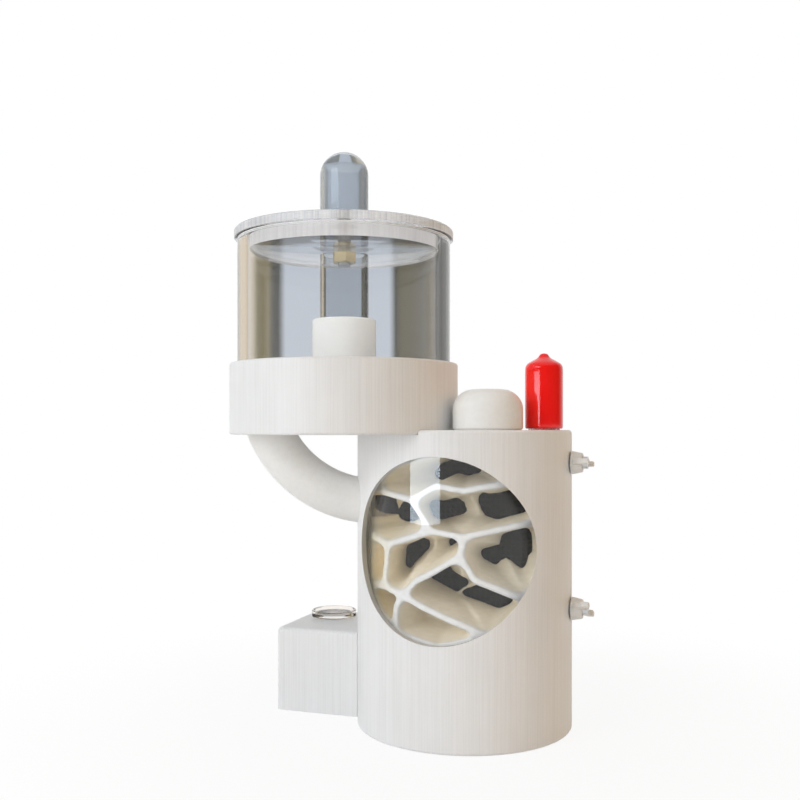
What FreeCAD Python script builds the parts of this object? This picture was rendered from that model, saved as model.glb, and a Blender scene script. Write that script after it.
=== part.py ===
"""Desktop ant habitat: a round nest tower with a curved window, joined by a curved tube to a clear arena.

Frame: +Z up, the tower's axis on Z, its underside at z = 0 and its window facing -Y. Sizes are in mm.
"""

import FreeCAD
import Part
import math
import os
import re

import Sketcher
from FreeCAD import Placement, Rotation, Vector

SIZES = {
    # nest tower
    "tower_radius": 35.5,
    "tower_height": 97.5,
    "shell_wall": 2.4,
    "shell_edge_round": 1.2,
    "base_thickness": 4.0,
    "top_thickness": 4.0,
    "cover_clearance": 0.3,
    "lip_thickness": 2.7,
    "lip_reach": 6.0,
    "lip_lap": 3.5,
    # window, pane and nest
    "window_border": 7.0,
    "window_drop": 36.6,
    "pane_lap": 1.5,
    "pane_thickness": 2.0,
    "pane_clearance": 0.1,
    "nest_back": 7.0,
    "rib_width": 1.8,
    "chamber_round": 2.4,
    "pocket_floor": 3.0,
    "pocket_share": 0.55,
    "tier_rise": 11.0,
    "tier_fall": 11.0,
    "mesh_thickness": 0.8,
    "mesh_border": 1.5,
    "sponge_thickness": 12.0,
    "sponge_width": 50.0,
    "sponge_height": 80.0,
    # feeding arena
    "tray_reach": 39.9,
    "tray_turn": 22.4,
    "tray_radius": 37.5,
    "tray_seat": 1.5,
    "tray_height": 23.2,
    "tray_floor": 3.0,
    "tray_edge_round": 0.8,
    "arena_radius": 35.0,
    "arena_wall": 3.0,
    "arena_height": 58.7,
    "arena_step": 5.0,
    "arena_clearance": 0.1,
    # walkway
    "arm_bend": 38.0,
    "arm_inset": 10.2,
    "arm_centre_rise": 14.5,
    "arm_radius": 7.5,
    "arm_bore": 5.0,
    "arm_low_angle": 120.0,
    "arm_high_angle": 10.0,
    "bore_low_angle": 100.0,
    "bore_high_angle": 50.0,
    # lid and its knob
    "lid_radius": 36.0,
    "lid_thickness": 3.0,
    "lid_plug_radius": 31.0,
    "lid_plug_depth": 4.0,
    "lid_edge": 0.4,
    "collar_radius": 10.5,
    "collar_height": 5.0,
    "collar_recess": 3.5,
    "knob_radius": 8.0,
    "knob_height": 25.0,
    "knob_wall": 1.2,
    "knob_crown": 4.9,
    "knob_clearance": 0.08,
    "lid_bolt_radius": 2.0,
    "bolt_head_radius": 3.5,
    "bolt_head_height": 2.4,
    "nut_across_flats": 7.0,
    "nut_height": 3.2,
    "bolt_end": 0.9,
    # feeder
    "socket_radius": 10.5,
    "socket_height": 34.8,
    "socket_floor": 4.0,
    "feeder_radius": 8.0,
    "feeder_wall": 1.0,
    "feeder_gap": 0.7,
    "feeder_clearance": 0.08,
    # fill plug
    "plug_across": 12.4,
    "plug_setback": 17.7,
    "plug_radius": 11.0,
    "plug_height": 12.4,
    "plug_shoulder": 6.5,
    "plug_rise": 0.5,
    "plug_foot": 0.6,
    "plug_shank": 7.9,
    "plug_bore": 5.2,
    "plug_crown": 3.0,
    "plug_clearance": 0.1,
    "shaft_depth": 9.5,
    # capped port
    "port_across": 28.0,
    "port_forward": 6.3,
    "port_radius": 5.0,
    "port_wall": 1.0,
    "port_rise": 14.0,
    "cap_wall": 1.0,
    "cap_length": 20.5,
    "cap_crown": 0.8,
    "cap_round": 2.2,
    "cap_rise": 2.4,
    "cap_nub_radius": 1.7,
    "cap_nub_height": 1.3,
    "cap_clearance": 0.06,
    # water tank
    "tank_length": 30.0,
    "tank_depth": 36.0,
    "tank_height": 28.7,
    "tank_forward": 6.0,
    "tank_gap": 0.5,
    "tank_wall": 2.0,
    "tank_round": 1.6,
    "tank_port_radius": 7.0,
    "tank_port_inset": 11.0,
    "tank_port_back": 26.0,
    "tank_cap_radius": 8.2,
    "tank_cap_rim": 1.1,
    "tank_cap_height": 2.4,
    "tank_cap_plate": 1.2,
    "tank_cap_plug": 4.0,
    "tank_cap_clearance": 0.1,
    "spout_radius": 1.4,
    "spout_bore": 0.8,
    "spout_height": 12.0,
    "spout_forward": 2.4,
    # clamping studs and wing nuts
    "stud_radius": 2.0,
    "stud_drop": 10.5,
    "stud_lower": 40.0,
    "stud_root": 4.5,
    "stud_reach": 5.6,
    "stud_clearance": 0.05,
    "slot_clearance": 0.3,
    "hub_radius": 3.8,
    "hub_tip_radius": 3.1,
    "hub_height": 3.6,
    "wing_span": 7.4,
    "wing_height": 6.4,
    "wing_root": 1.0,
    "wing_thickness": 1.7,
    "wing_tip_width": 2.8,
    "upper_nut_turn": 84.0,
    "lower_nut_turn": 68.0,
}

# The points where the nest's ribs meet, across and up from the window's centre, on the front of the nest,
# as they are drawn for a window of this radius.
DRAWN_WINDOW = 28.5
RIB_POINTS = {
    "high_left": (-26.0, 18.0),
    "fork": (-8.5, 15.0),
    "wave_low": (-0.7, 19.5),
    "wave_mid": (7.7, 18.0),
    "wave_high": (13.3, 19.2),
    "high_right": (22.5, 20.5),
    "side_right": (28.8, 8.5),
    "bend_right": (16.6, 6.1),
    "hub_right": (7.7, 4.1),
    "hub_left": (-2.0, 5.7),
    "knee_left": (-17.3, 0.6),
    "side_left": (-28.6, 3.0),
    "hub_low": (6.8, -1.8),
    "slope_high": (10.7, -8.9),
    "slope_low": (16.6, -11.6),
    "low_right": (25.0, -16.2),
    "ramp_high": (-2.0, -7.3),
    "ramp_low": (-7.1, -9.9),
    "cross": (-11.9, -14.7),
    "elbow": (-19.1, -12.9),
    "low_left": (-26.5, -13.5),
    "stem_high": (-14.3, -18.4),
    "stem_low": (-14.7, -22.8),
    "foot_left": (-14.0, -26.6),
    "floor_high": (-6.0, -17.3),
    "floor_low": (6.8, -22.5),
    "foot_right": (14.5, -26.0),
    "crown_left": (-14.0, 26.2),
    "crown": (0.0, 29.6),
    "crown_right": (14.0, 26.2),
    "rim_left": (-29.2, 11.0),
    "rim_right": (29.6, -4.5),
    "rim_low_right": (21.5, -20.8),
    "rim_low_left": (-21.0, -20.6),
    "sump": (0.0, -29.6),
}

# Each chamber lists the rib points round it.
CHAMBERS = {
    "top": ["high_left", "fork", "wave_low", "wave_mid", "wave_high", "high_right",
            "crown_right", "crown", "crown_left"],
    "upper_left": ["high_left", "rim_left", "side_left", "knee_left", "hub_left", "fork"],
    "upper_right": ["fork", "hub_left", "hub_right", "bend_right", "side_right", "high_right",
                    "wave_high", "wave_mid", "wave_low"],
    "left": ["side_left", "low_left", "elbow", "knee_left"],
    "middle": ["knee_left", "elbow", "cross", "ramp_low", "ramp_high", "hub_low", "hub_right", "hub_left"],
    "right": ["hub_right", "hub_low", "slope_high", "slope_low", "low_right", "rim_right",
              "side_right", "bend_right"],
    "lower_right": ["hub_low", "ramp_high", "ramp_low", "cross", "floor_high", "floor_low", "foot_right",
                    "rim_low_right", "low_right", "slope_low", "slope_high"],
    "lower_left": ["elbow", "low_left", "rim_low_left", "foot_left", "stem_low", "stem_high", "cross"],
    "bottom": ["cross", "stem_high", "stem_low", "foot_left", "sump", "foot_right", "floor_low",
               "floor_high"],
}

# Where each chamber leads out behind, drawn as above: across, up, and the way out's width and height.
# A chamber that isn't listed is a pocket that stops short of the back.
CHAMBER_EXITS = {
    "top": [(0.8, 23.7, 14.0, 7.5)],
    "upper_left": [(-15.7, 9.7, 6.4, 6.0)],
    "upper_right": [(14.7, 13.4, 14.5, 9.6), (-5.6, 11.1, 9.0, 6.6)],
    "middle": [(-14.3, -3.9, 7.3, 9.6), (-0.4, 0.9, 2.7, 2.3)],
    "right": [(18.4, -0.5, 8.0, 12.0), (9.8, -3.6, 4.7, 4.2)],
    "lower_right": [(9.8, -16.8, 16.0, 7.0), (-4.0, -11.2, 11.0, 8.4)],
}

doc = FreeCAD.newDocument("AntHabitat")
sheet = doc.addObject("Spreadsheet::Sheet", "Sizes")
subparts = []

# Places that several pieces share, as expressions of the sizes.
TRAY_X = "-tray_reach * cos(tray_turn * 1deg)"
TRAY_Y = "-tray_reach * sin(tray_turn * 1deg)"
TRAY_Z = "tower_height - tray_seat"
STEP_Z = TRAY_Z + " + arena_step"
LID_Z = STEP_Z + " + arena_height"
INNER = "tower_radius - shell_wall"
WINDOW = "(tower_radius - window_border)"
WINDOW_Z = "tower_height - window_drop"
PLUG_Y = "plug_setback - tower_radius"
STUD_Z = {"upper": "tower_height - stud_drop", "lower": "stud_lower"}
ARM_REACH = "(tray_reach + tray_radius - arm_inset - arm_bend)"
ARM_Z = "tower_height + arm_centre_rise"
NEST_TOP = "tower_height - top_thickness"
TANK_FACE = "tower_radius + tank_gap"


def fill_sheet():
    for row, (name, size) in enumerate(SIZES.items(), 1):
        sheet.set("A%d" % row, name)
        sheet.set("B%d" % row, str(size))
        sheet.setAlias("B%d" % row, name)
    doc.recompute()


def reference(text):
    """Point each size named in an expression at its cell."""
    return re.sub(r"[a-z]+(_[a-z]+)+", r"Sizes.\g<0>", text)


def value(text):
    """The number that an expression of the sizes gives now."""
    result = sheet.evalExpression(reference(text))
    return float(getattr(result, "Value", result))


def bind(item, prop, text):
    item.setExpression(prop, reference(text))


def place(item, at, rotation=None):
    if rotation is not None:
        item.Placement = Placement(Vector(0, 0, 0), rotation)
    for axis, text in zip("xyz", at):
        bind(item, "Placement.Base." + axis, text)
    return item


# ---- primitives and booleans bound to the sheet


def cylinder(name, radius, height, at=("0", "0", "0"), rotation=None):
    item = doc.addObject("Part::Cylinder", name)
    bind(item, "Radius", radius)
    bind(item, "Height", height)
    return place(item, at, rotation)


def box(name, length, width, height, at=("0", "0", "0")):
    item = doc.addObject("Part::Box", name)
    bind(item, "Length", length)
    bind(item, "Width", width)
    bind(item, "Height", height)
    return place(item, at)


def fuse(name, *pieces):
    item = doc.addObject("Part::MultiFuse", name)
    item.Shapes = list(pieces)
    item.Refine = True
    return item


def cut(name, base, *tools):
    item = doc.addObject("Part::Cut", name)
    item.Base = base
    item.Tool = tools[0] if len(tools) == 1 else fuse(name + "_tools", *tools)
    item.Refine = True
    return item


def common(name, first, second):
    item = doc.addObject("Part::Common", name)
    item.Base = first
    item.Tool = second
    item.Refine = True
    return item


def keep(item, label):
    """Enter an object as a sub-part of the habitat under its own label."""
    item.Label = label
    subparts.append(item)
    return item


def along_x():
    return Rotation(Vector(0, 1, 0), 90)


def along_y():
    return Rotation(Vector(1, 0, 0), -90)


# ---- sketched bodies


def plane_of(body, role):
    return [feature for feature in body.Origin.OriginFeatures if feature.Role == role][0]


def outline_sketch(body, name, role, points):
    """A closed outline whose corners are dimensioned from the origin by expressions."""
    sketch = body.newObject("Sketcher::SketchObject", name)
    sketch.AttachmentSupport = [(plane_of(body, role), "")]
    sketch.MapMode = "FlatFace"
    corners = [Vector(value(across), value(up), 0) for across, up in points]
    count = len(corners)
    for i in range(count):
        sketch.addGeometry(Part.LineSegment(corners[i], corners[(i + 1) % count]), False)
    for i in range(count):
        sketch.addConstraint(Sketcher.Constraint("Coincident", i, 2, (i + 1) % count, 1))
    for i, (across, up) in enumerate(points):
        hold_corner(sketch, i, "X", across, corners[i].x)
        hold_corner(sketch, i, "Y", up, corners[i].y)
    return sketch


def hold_corner(sketch, corner, axis, text, size):
    if text == "0":
        line = -2 if axis == "X" else -1
        sketch.addConstraint(Sketcher.Constraint("PointOnObject", corner, 1, line))
        return
    index = sketch.addConstraint(Sketcher.Constraint("Distance" + axis, -1, 1, corner, 1, size))
    title = "corner%s%d" % (axis.lower(), corner)
    sketch.renameConstraint(index, title)
    bind(sketch, "Constraints." + title, text)


def turned(label, points, at=("0", "0", "0")):
    """A body of revolution about the vertical axis from (radius, height) pairs."""
    body = doc.addObject("PartDesign::Body", label + "_body")
    sketch = outline_sketch(body, label + "_section", "XZ_Plane", points)
    turn = body.newObject("PartDesign::Revolution", label + "_turn")
    turn.Profile = sketch
    turn.ReferenceAxis = (sketch, ["V_Axis"])
    turn.Angle = 360
    doc.recompute()
    place(body, at)
    return body


def round_rings(body, label, radius, rings):
    """Fillet the ring edges at the given (radius, height) pairs."""
    shape = body.Tip.Shape
    names = []
    for index, edge in enumerate(shape.Edges, 1):
        if not isinstance(edge.Curve, Part.Circle):
            continue
        spot = (edge.Curve.Radius, edge.Curve.Center.z)
        if any(math.dist(spot, (value(r), value(z))) < 1e-4 for r, z in rings):
            names.append("Edge%d" % index)
    fillet = body.newObject("PartDesign::Fillet", label)
    fillet.Base = (body.Tip if body.Tip != fillet else fillet.BaseFeature, names)
    bind(fillet, "Radius", radius)
    doc.recompute()
    return fillet


# ---- the tower's two half shells


def half_wall(name, front, height="tower_height"):
    """Half of the tower's wall, in front of or behind the plane of its seam."""
    outer = cylinder(name + "_outer", "tower_radius", height)
    rim = doc.addObject("Part::Fillet", name + "_rim")
    rim.Base = outer
    doc.recompute()
    rings = [i for i, edge in enumerate(outer.Shape.Edges, 1) if len(edge.Vertexes) == 1]
    rim.Edges = [(i, value("shell_edge_round"), value("shell_edge_round")) for i in rings]
    ring = cut(name + "_ring", rim, cylinder(name + "_hollow", INNER, height))
    start = "-tower_radius" if front else "cover_clearance"
    half = box(name + "_half", "2 * tower_radius", "tower_radius", height, ("-tower_radius", start, "0"))
    return common(name + "_wall", ring, half)


def tray_seat(name, clearance):
    """The round step that the arena tray stands in, cut into the tower's top."""
    return cylinder(name, "tray_radius + arena_clearance", "tray_seat + " + clearance + " + 1",
                    (TRAY_X, TRAY_Y, TRAY_Z + " - " + clearance))


def inner_lip(name, side):
    """A strip behind each seam: it carries the studs and locates the rear cover."""
    mean = "(" + INNER + " - lip_thickness)"
    left = "-tower_radius" if side < 0 else "0"
    height = NEST_TOP + " - base_thickness"
    parts = []
    for part, radius, start, depth in (("fixed", INNER, "-lip_reach", "lip_reach"),
                                       ("lap", INNER + " - cover_clearance", "0", "lip_lap")):
        outer = cylinder(name + part + "_out", radius, height, ("0", "0", "base_thickness"))
        inner = cylinder(name + part + "_in", mean, height, ("0", "0", "base_thickness"))
        tube = cut(name + part + "_tube", outer, inner)
        strip = box(name + part + "_strip", "tower_radius", depth, height, (left, start, "base_thickness"))
        parts.append(common(name + part, tube, strip))
    return parts


def walkway_ring(name, radius, low="bore_low_angle", high="bore_high_angle"):
    """A ring segment along the walkway's centre line, in the plane through the tower and the tray.

    Its two ends are given as angles below the level of the bend's centre.
    """
    item = doc.addObject("Part::Torus", name)
    bind(item, "Radius1", "arm_bend")
    bind(item, "Radius2", radius)
    bind(item, "Angle3", low + " - " + high)
    heading = Rotation(Vector(0, 0, 1), 180 + value("tray_turn"))
    rotation = heading * Rotation(Vector(1, 0, 0), 90) * Rotation(Vector(0, 0, 1), -value(low))
    at = ("-" + ARM_REACH + " * cos(tray_turn * 1deg)", "-" + ARM_REACH + " * sin(tray_turn * 1deg)", ARM_Z)
    return place(item, at, rotation)


def tray_bore(name):
    """The walkway's slanted way through the tray's floor, in line with the arm where they meet."""
    lean = math.degrees(math.asin(value("(arm_centre_rise + tray_seat) / arm_bend")))
    reach = "(" + ARM_REACH + " + sqrt(arm_bend^2 - (arm_centre_rise + tray_seat)^2))"
    at = ("-" + reach + " * cos(tray_turn * 1deg)", "-" + reach + " * sin(tray_turn * 1deg)", TRAY_Z)
    heading = Rotation(Vector(0, 0, 1), 180 + value("tray_turn"))
    above = cylinder(name, "arm_bore", "6 * tray_floor", at, heading * Rotation(Vector(0, 1, 0), lean))
    below = cylinder(name + "_below", "arm_bore", "tray_floor", at,
                     heading * Rotation(Vector(0, 1, 0), 180 + lean))
    return fuse(name + "_whole", above, below)


def stud_hole(name, height, clearance):
    return cylinder(name, "stud_radius + " + clearance, "tower_radius",
                    ("tower_radius / 2", "0", height), along_x())


def spout_hole(name):
    return cylinder(name, "spout_radius", "tower_radius",
                    ("-1.5 * tower_radius", "-spout_forward", "spout_height"), along_x())


def front_shell():
    wall = half_wall("front", True)
    window = cylinder("window_hole", WINDOW, "tower_radius",
                      ("0", "-tower_radius", WINDOW_Z), along_y())
    opened = cut("front_open", wall, window)
    lips = inner_lip("lip_left_", -1) + inner_lip("lip_right_", 1)
    whole = fuse("front_whole", opened, *lips)
    shell = cut("front_shell", whole, walkway_ring("front_walkway", "arm_bore"),
                tray_seat("front_seat", "0"), spout_hole("front_spout"),
                stud_hole("front_upper", STUD_Z["upper"], "0"),
                stud_hole("front_lower", STUD_Z["lower"], "0"),
                cylinder("front_port", "port_radius", "2 * top_thickness",
                         ("port_across", "-port_forward", NEST_TOP)))
    return keep(shell, "front_shell")


def rear_shell():
    wall = half_wall("rear", False)
    shell = cut("rear_shell", wall, tray_seat("rear_seat", "cover_clearance"),
                stud_hole("rear_upper", STUD_Z["upper"], "slot_clearance"),
                stud_hole("rear_lower", STUD_Z["lower"], "slot_clearance"))
    return keep(shell, "rear_shell")


def end_plate(name, thickness, height):
    """A disc that closes the tower: full inside the front shell, clear of the rear cover."""
    front = common(name + "_front", cylinder(name + "_full", INNER, thickness, ("0", "0", height)),
                   box(name + "_ahead", "2 * tower_radius", "tower_radius", thickness,
                       ("-tower_radius", "-tower_radius", height)))
    rear = cylinder(name + "_rear", INNER + " - cover_clearance", thickness, ("0", "0", height))
    return fuse(name + "_disc", front, rear)


def base_plate():
    return keep(end_plate("base", "base_thickness", "0"), "base_plate")


def top_plate():
    disc = end_plate("top", "top_thickness", NEST_TOP)
    plug_hole = cylinder("top_plug_hole", "plug_shank + plug_clearance", "2 * top_thickness",
                         ("plug_across", PLUG_Y, NEST_TOP + " - top_thickness / 2"))
    port_hole = cylinder("top_port_hole", "port_radius", "2 * top_thickness",
                         ("port_across", "-port_forward", NEST_TOP + " - top_thickness / 2"))
    return keep(cut("top_plate", disc, tray_seat("top_seat", "0"), plug_hole, port_hole), "top_plate")


# ---- window pane, nest block, mesh and sponge


def window_pane():
    outer = cylinder("pane_outer", INNER, "tower_height")
    inner = cylinder("pane_inner", INNER + " - pane_thickness", "tower_height")
    disc = cylinder("pane_disc", WINDOW + " + pane_lap", "tower_radius",
                    ("0", "-tower_radius", WINDOW_Z), along_y())
    pane = common("pane_curved", cut("pane_tube", outer, inner), disc)
    return keep(cut("window_pane", pane, walkway_ring("pane_walkway", "arm_bore")), "window_pane")


def nest_radius():
    return value(INNER + " - pane_thickness - pane_clearance")


def drawn_in(points, distance):
    """Move every corner of a closed outline inwards by the same distance from both its sides."""
    count = len(points)
    area = sum(points[i - 1][0] * points[i][1] - points[i][0] * points[i - 1][1] for i in range(count))
    side = 1 if area > 0 else -1
    moved = []
    for i in range(count):
        (ax, ay), (bx, by), (cx, cy) = points[i - 1], points[i], points[(i + 1) % count]
        first = Vector(bx - ax, by - ay, 0).normalize()
        second = Vector(cx - bx, cy - by, 0).normalize()
        normal = Vector(-first.y - second.y, first.x + second.x, 0) * side
        reach = 2 * distance / normal.dot(normal)
        moved.append((bx + normal.x * reach, by + normal.y * reach))
    return moved


def rounded(points, radius):
    """Ease each corner of a closed outline with three points, as far as its sides allow."""
    count = len(points)
    eased = []
    for i in range(count):
        corner = Vector(points[i][0], points[i][1], 0)
        back = Vector(points[i - 1][0], points[i - 1][1], 0) - corner
        ahead = Vector(points[(i + 1) % count][0], points[(i + 1) % count][1], 0) - corner
        half = back.getAngle(ahead) / 2
        trim = min(radius / math.tan(half), 0.42 * back.Length, 0.42 * ahead.Length)
        start = corner + back.normalize() * trim
        end = corner + ahead.normalize() * trim
        bisector = (back + ahead).normalize()
        middle = corner + bisector * (trim / math.cos(half) - trim * math.tan(half))
        eased += [(spot.x, spot.y) for spot in (start, middle, end)]
    return eased


def middle_of(points):
    return sum(x for x, _ in points) / len(points), sum(z for _, z in points) / len(points)


def spread(points):
    across = [x for x, _ in points]
    up = [z for _, z in points]
    return max(across) - min(across), max(up) - min(up)


def funnel(mouth, far, depth):
    """The space that runs straight in from the window to the round front, then narrows to its far end."""
    centre = value(WINDOW_Z)
    radius = nest_radius()
    outer, rim, end = [], [], []
    for (x, z), (far_x, far_z) in zip(mouth, far):
        outer.append(Vector(x, -value("tower_radius"), centre + z))
        rim.append(Vector(x, -math.sqrt(radius ** 2 - min(abs(x), 0.96 * radius) ** 2), centre + z))
        end.append(Vector(far_x, -depth, centre + far_z))
    faces = [Part.Face(Part.makePolygon(outer + outer[:1])), Part.Face(Part.makePolygon(end + end[:1]))]
    for i in range(len(mouth)):
        j = i - 1
        faces.append(Part.Face(Part.makePolygon([outer[j], outer[i], rim[i], rim[j], outer[j]])))
        faces.append(Part.Face(Part.makePolygon([rim[j], rim[i], end[i], rim[j]])))
        faces.append(Part.Face(Part.makePolygon([rim[j], end[i], end[j], rim[j]])))
    solid = Part.makeSolid(Part.makeShell(faces))
    if solid.Volume < 0:
        solid.reverse()
    return solid


def chamber_spaces(chamber):
    """One chamber's funnels: its mouth follows the ribs, and a funnel leads from it to each way out."""
    scale = value(WINDOW) / DRAWN_WINDOW
    points = [(x * scale, z * scale) for x, z in (RIB_POINTS[name] for name in CHAMBERS[chamber])]
    mouth = rounded(drawn_in(points, value("rib_width") / 2), value("chamber_round"))
    middle_x, middle_z = middle_of(mouth)
    width, height = spread(mouth)
    if chamber not in CHAMBER_EXITS:
        share = value("pocket_share")
        far = [(middle_x + (x - middle_x) * share, middle_z + (z - middle_z) * share) for x, z in mouth]
        return [funnel(mouth, far, value("nest_back + pocket_floor"))]
    spaces = []
    for way_out in CHAMBER_EXITS[chamber]:
        exit_x, exit_z, exit_width, exit_height = (size * scale for size in way_out)
        far = [(exit_x + (x - middle_x) * exit_width / width,
                exit_z + (z - middle_z) * exit_height / height) for x, z in mouth]
        spaces.append(funnel(mouth, far, value("nest_back") - 1))
    return spaces


def nest():
    """The nest, behind the window: its ribs part nine chambers. It is modelled in three tiers."""
    low = value("base_thickness")
    height = value(NEST_TOP) - low
    block = Part.makeCylinder(nest_radius(), height, Vector(0, 0, low))
    block = block.common(slab(low, low + height))
    for chamber in CHAMBERS:
        for space in chamber_spaces(chamber):
            block = block.cut(space)
    feed = Part.makeCylinder(value("plug_shank + plug_clearance"), value("2 * shaft_depth"),
                             Vector(value("plug_across"), value(PLUG_Y), value(NEST_TOP + " - shaft_depth")))
    walkway = walkway_ring("nest_walkway", "arm_bore")
    doc.recompute()
    block = block.cut(feed).cut(walkway.Shape).removeSplitter()
    lower = value(WINDOW_Z + " - tier_fall")
    upper = value(WINDOW_Z + " + tier_rise")
    for label, start, end in (("nest_lower", low, lower), ("nest_block", lower, upper),
                              ("nest_upper", upper, low + height)):
        item = doc.addObject("Part::Feature", label)
        item.Shape = block.common(slab(start, end))
        keep(item, label)


def slab(start, end):
    """All that lies in front of the nest's flat back, between two heights."""
    reach = value("tower_radius")
    return Part.makeBox(2 * reach, reach - value("nest_back"), end - start, Vector(-reach, -reach, start))


def backing():
    """The fine mesh that closes the chambers behind, and the damp sponge that it holds."""
    width = "2 * sqrt((" + INNER + ")^2 - nest_back^2) - 4 * mesh_border"
    mesh = box("mesh_panel", width, "mesh_thickness", NEST_TOP + " - base_thickness",
               ("-(" + width + ") / 2", "-nest_back", "base_thickness"))
    keep(mesh, "mesh_panel")
    sponge = box("humidity_sponge", "sponge_width", "sponge_thickness", "sponge_height",
                 ("-sponge_width / 2", "mesh_thickness - nest_back", "base_thickness"))
    keep(sponge, "humidity_sponge")


# ---- the arena, its lid and its feeder


def arena_tray():
    floor = TRAY_Z + " + tray_floor"
    top = TRAY_Z + " + tray_height"
    seat = "arena_radius + arena_clearance"
    bore = "arena_radius - arena_wall"
    body = turned("tray", [("0", TRAY_Z), ("tray_radius", TRAY_Z), ("tray_radius", top), (seat, top),
                           (seat, STEP_Z), (bore, STEP_Z), (bore, floor), ("0", floor)],
                  (TRAY_X, TRAY_Y, "0"))
    round_rings(body, "tray_rounding", "tray_edge_round", [("tray_radius", TRAY_Z), ("tray_radius", top)])
    return keep(cut("arena_tray", body, tray_bore("tray_walkway")), "arena_tray")


def connecting_arm():
    tube = cut("arm_tube", walkway_ring("arm_outside", "arm_radius", "arm_low_angle", "arm_high_angle"),
               walkway_ring("arm_inside", "arm_bore", "arm_low_angle", "arm_high_angle"))
    tower = cylinder("arm_tower", "tower_radius", "2 * tower_height")
    above = box("arm_above", "4 * tower_radius", "4 * tower_radius", "tower_height",
                ("-3 * tower_radius", "-2 * tower_radius", TRAY_Z))
    return keep(cut("connecting_arm", tube, tower, above), "connecting_arm")


def arena_tube():
    body = turned("arena", [("arena_radius - arena_wall", STEP_Z), ("arena_radius", STEP_Z),
                            ("arena_radius", LID_Z), ("arena_radius - arena_wall", LID_Z)],
                  (TRAY_X, TRAY_Y, "0"))
    return keep(body, "arena_tube")


def lid():
    at = (TRAY_X, TRAY_Y, "0")
    top = LID_Z + " + lid_thickness"
    seat = top + " + collar_height - collar_recess"
    bolt = "lid_bolt_radius"
    edge = "lid_radius - lid_edge"
    disc = turned("lid", [(bolt, LID_Z), (edge, LID_Z), ("lid_radius", LID_Z + " + lid_edge"),
                          ("lid_radius", top + " - lid_edge"), (edge, top), (bolt, top)], at)
    keep(disc, "lid_disc")
    under = LID_Z + " - lid_plug_depth"
    plug = turned("lid_plug", [(bolt, under), ("lid_plug_radius", under), ("lid_plug_radius", LID_Z),
                               (bolt, LID_Z)], at)
    keep(plug, "lid_plug")
    bore = "knob_radius + knob_clearance"
    rim = top + " + collar_height"
    collar = turned("collar", [(bolt, top), ("collar_radius", top), ("collar_radius", rim + " - lid_edge"),
                               ("collar_radius - lid_edge", rim), (bore, rim), (bore, seat),
                               (bolt, seat)], at)
    keep(collar, "knob_collar")
    end = under + " - nut_height - bolt_end"
    head = seat + " + bolt_head_height"
    bolt_body = turned("bolt", [("0", end), (bolt, end), (bolt, seat), ("bolt_head_radius", seat),
                                ("bolt_head_radius", head + " - lid_edge"),
                                ("bolt_head_radius - lid_edge", head), ("0", head)], at)
    keep(bolt_body, "lid_bolt")
    lid_nut(at, under)


def lid_nut(at, under):
    blank = doc.addObject("Part::Prism", "nut_blank")
    blank.Polygon = 6
    bind(blank, "Circumradius", "nut_across_flats / sqrt(3)")
    bind(blank, "Height", "nut_height")
    place(blank, (at[0], at[1], under + " - nut_height"))
    cone = doc.addObject("Part::Cone", "nut_crown")
    bind(cone, "Radius1", "nut_across_flats / 2")
    bind(cone, "Radius2", "nut_across_flats / 2 + nut_height")
    bind(cone, "Height", "nut_height")
    place(cone, (at[0], at[1], under + " - nut_height"))
    thread = cylinder("nut_thread", "lid_bolt_radius", "nut_height",
                      (at[0], at[1], under + " - nut_height"))
    keep(cut("lid_nut", common("nut_hex", blank, cone), thread), "lid_nut")


def knob_cap():
    low = LID_Z + " + lid_thickness + collar_height - collar_recess"
    top = low + " + knob_height"
    cavity = top + " - knob_crown"
    inside = "knob_radius - knob_wall"
    body = turned("knob", [(inside, low), ("knob_radius", low), ("knob_radius", top), ("0", top),
                           ("0", cavity), (inside, cavity)], (TRAY_X, TRAY_Y, "0"))
    round_rings(body, "knob_dome", "knob_radius * 0.97", [("knob_radius", top)])
    return keep(body, "knob_cap")


def feeder():
    floor = TRAY_Z + " + tray_floor"
    seat = floor + " + socket_floor"
    top = floor + " + socket_height"
    bore = "feeder_radius + feeder_clearance"
    at = (TRAY_X, TRAY_Y, "0")
    socket = turned("socket", [("0", floor), ("socket_radius", floor),
                               ("socket_radius", top + " - lid_edge"), ("socket_radius - lid_edge", top),
                               (bore, top), (bore, seat), ("0", seat)], at)
    keep(socket, "feeder_socket")
    inside = "feeder_radius - feeder_wall"
    tube_top = LID_Z + " - lid_plug_depth - feeder_gap"
    tube = turned("feeder", [(inside, seat), ("feeder_radius", seat), ("feeder_radius", tube_top),
                             (inside, tube_top)], at)
    keep(tube, "feeder_tube")


# ---- the two caps on the tower's top


def fill_plug():
    top = "tower_height + plug_height"
    shank = NEST_TOP
    body = turned("plug", [("plug_bore", shank), ("plug_shank", shank), ("plug_shank", "tower_height"),
                           ("plug_radius - plug_foot", "tower_height"),
                           ("plug_radius", "tower_height + plug_foot"), ("plug_radius", top),
                           ("0", top + " + plug_rise"), ("0", top + " - plug_crown"),
                           ("plug_bore", top + " - plug_crown")], ("plug_across", PLUG_Y, "0"))
    round_rings(body, "plug_shoulders", "plug_shoulder", [("plug_radius", top)])
    return keep(body, "fill_plug")


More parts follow.
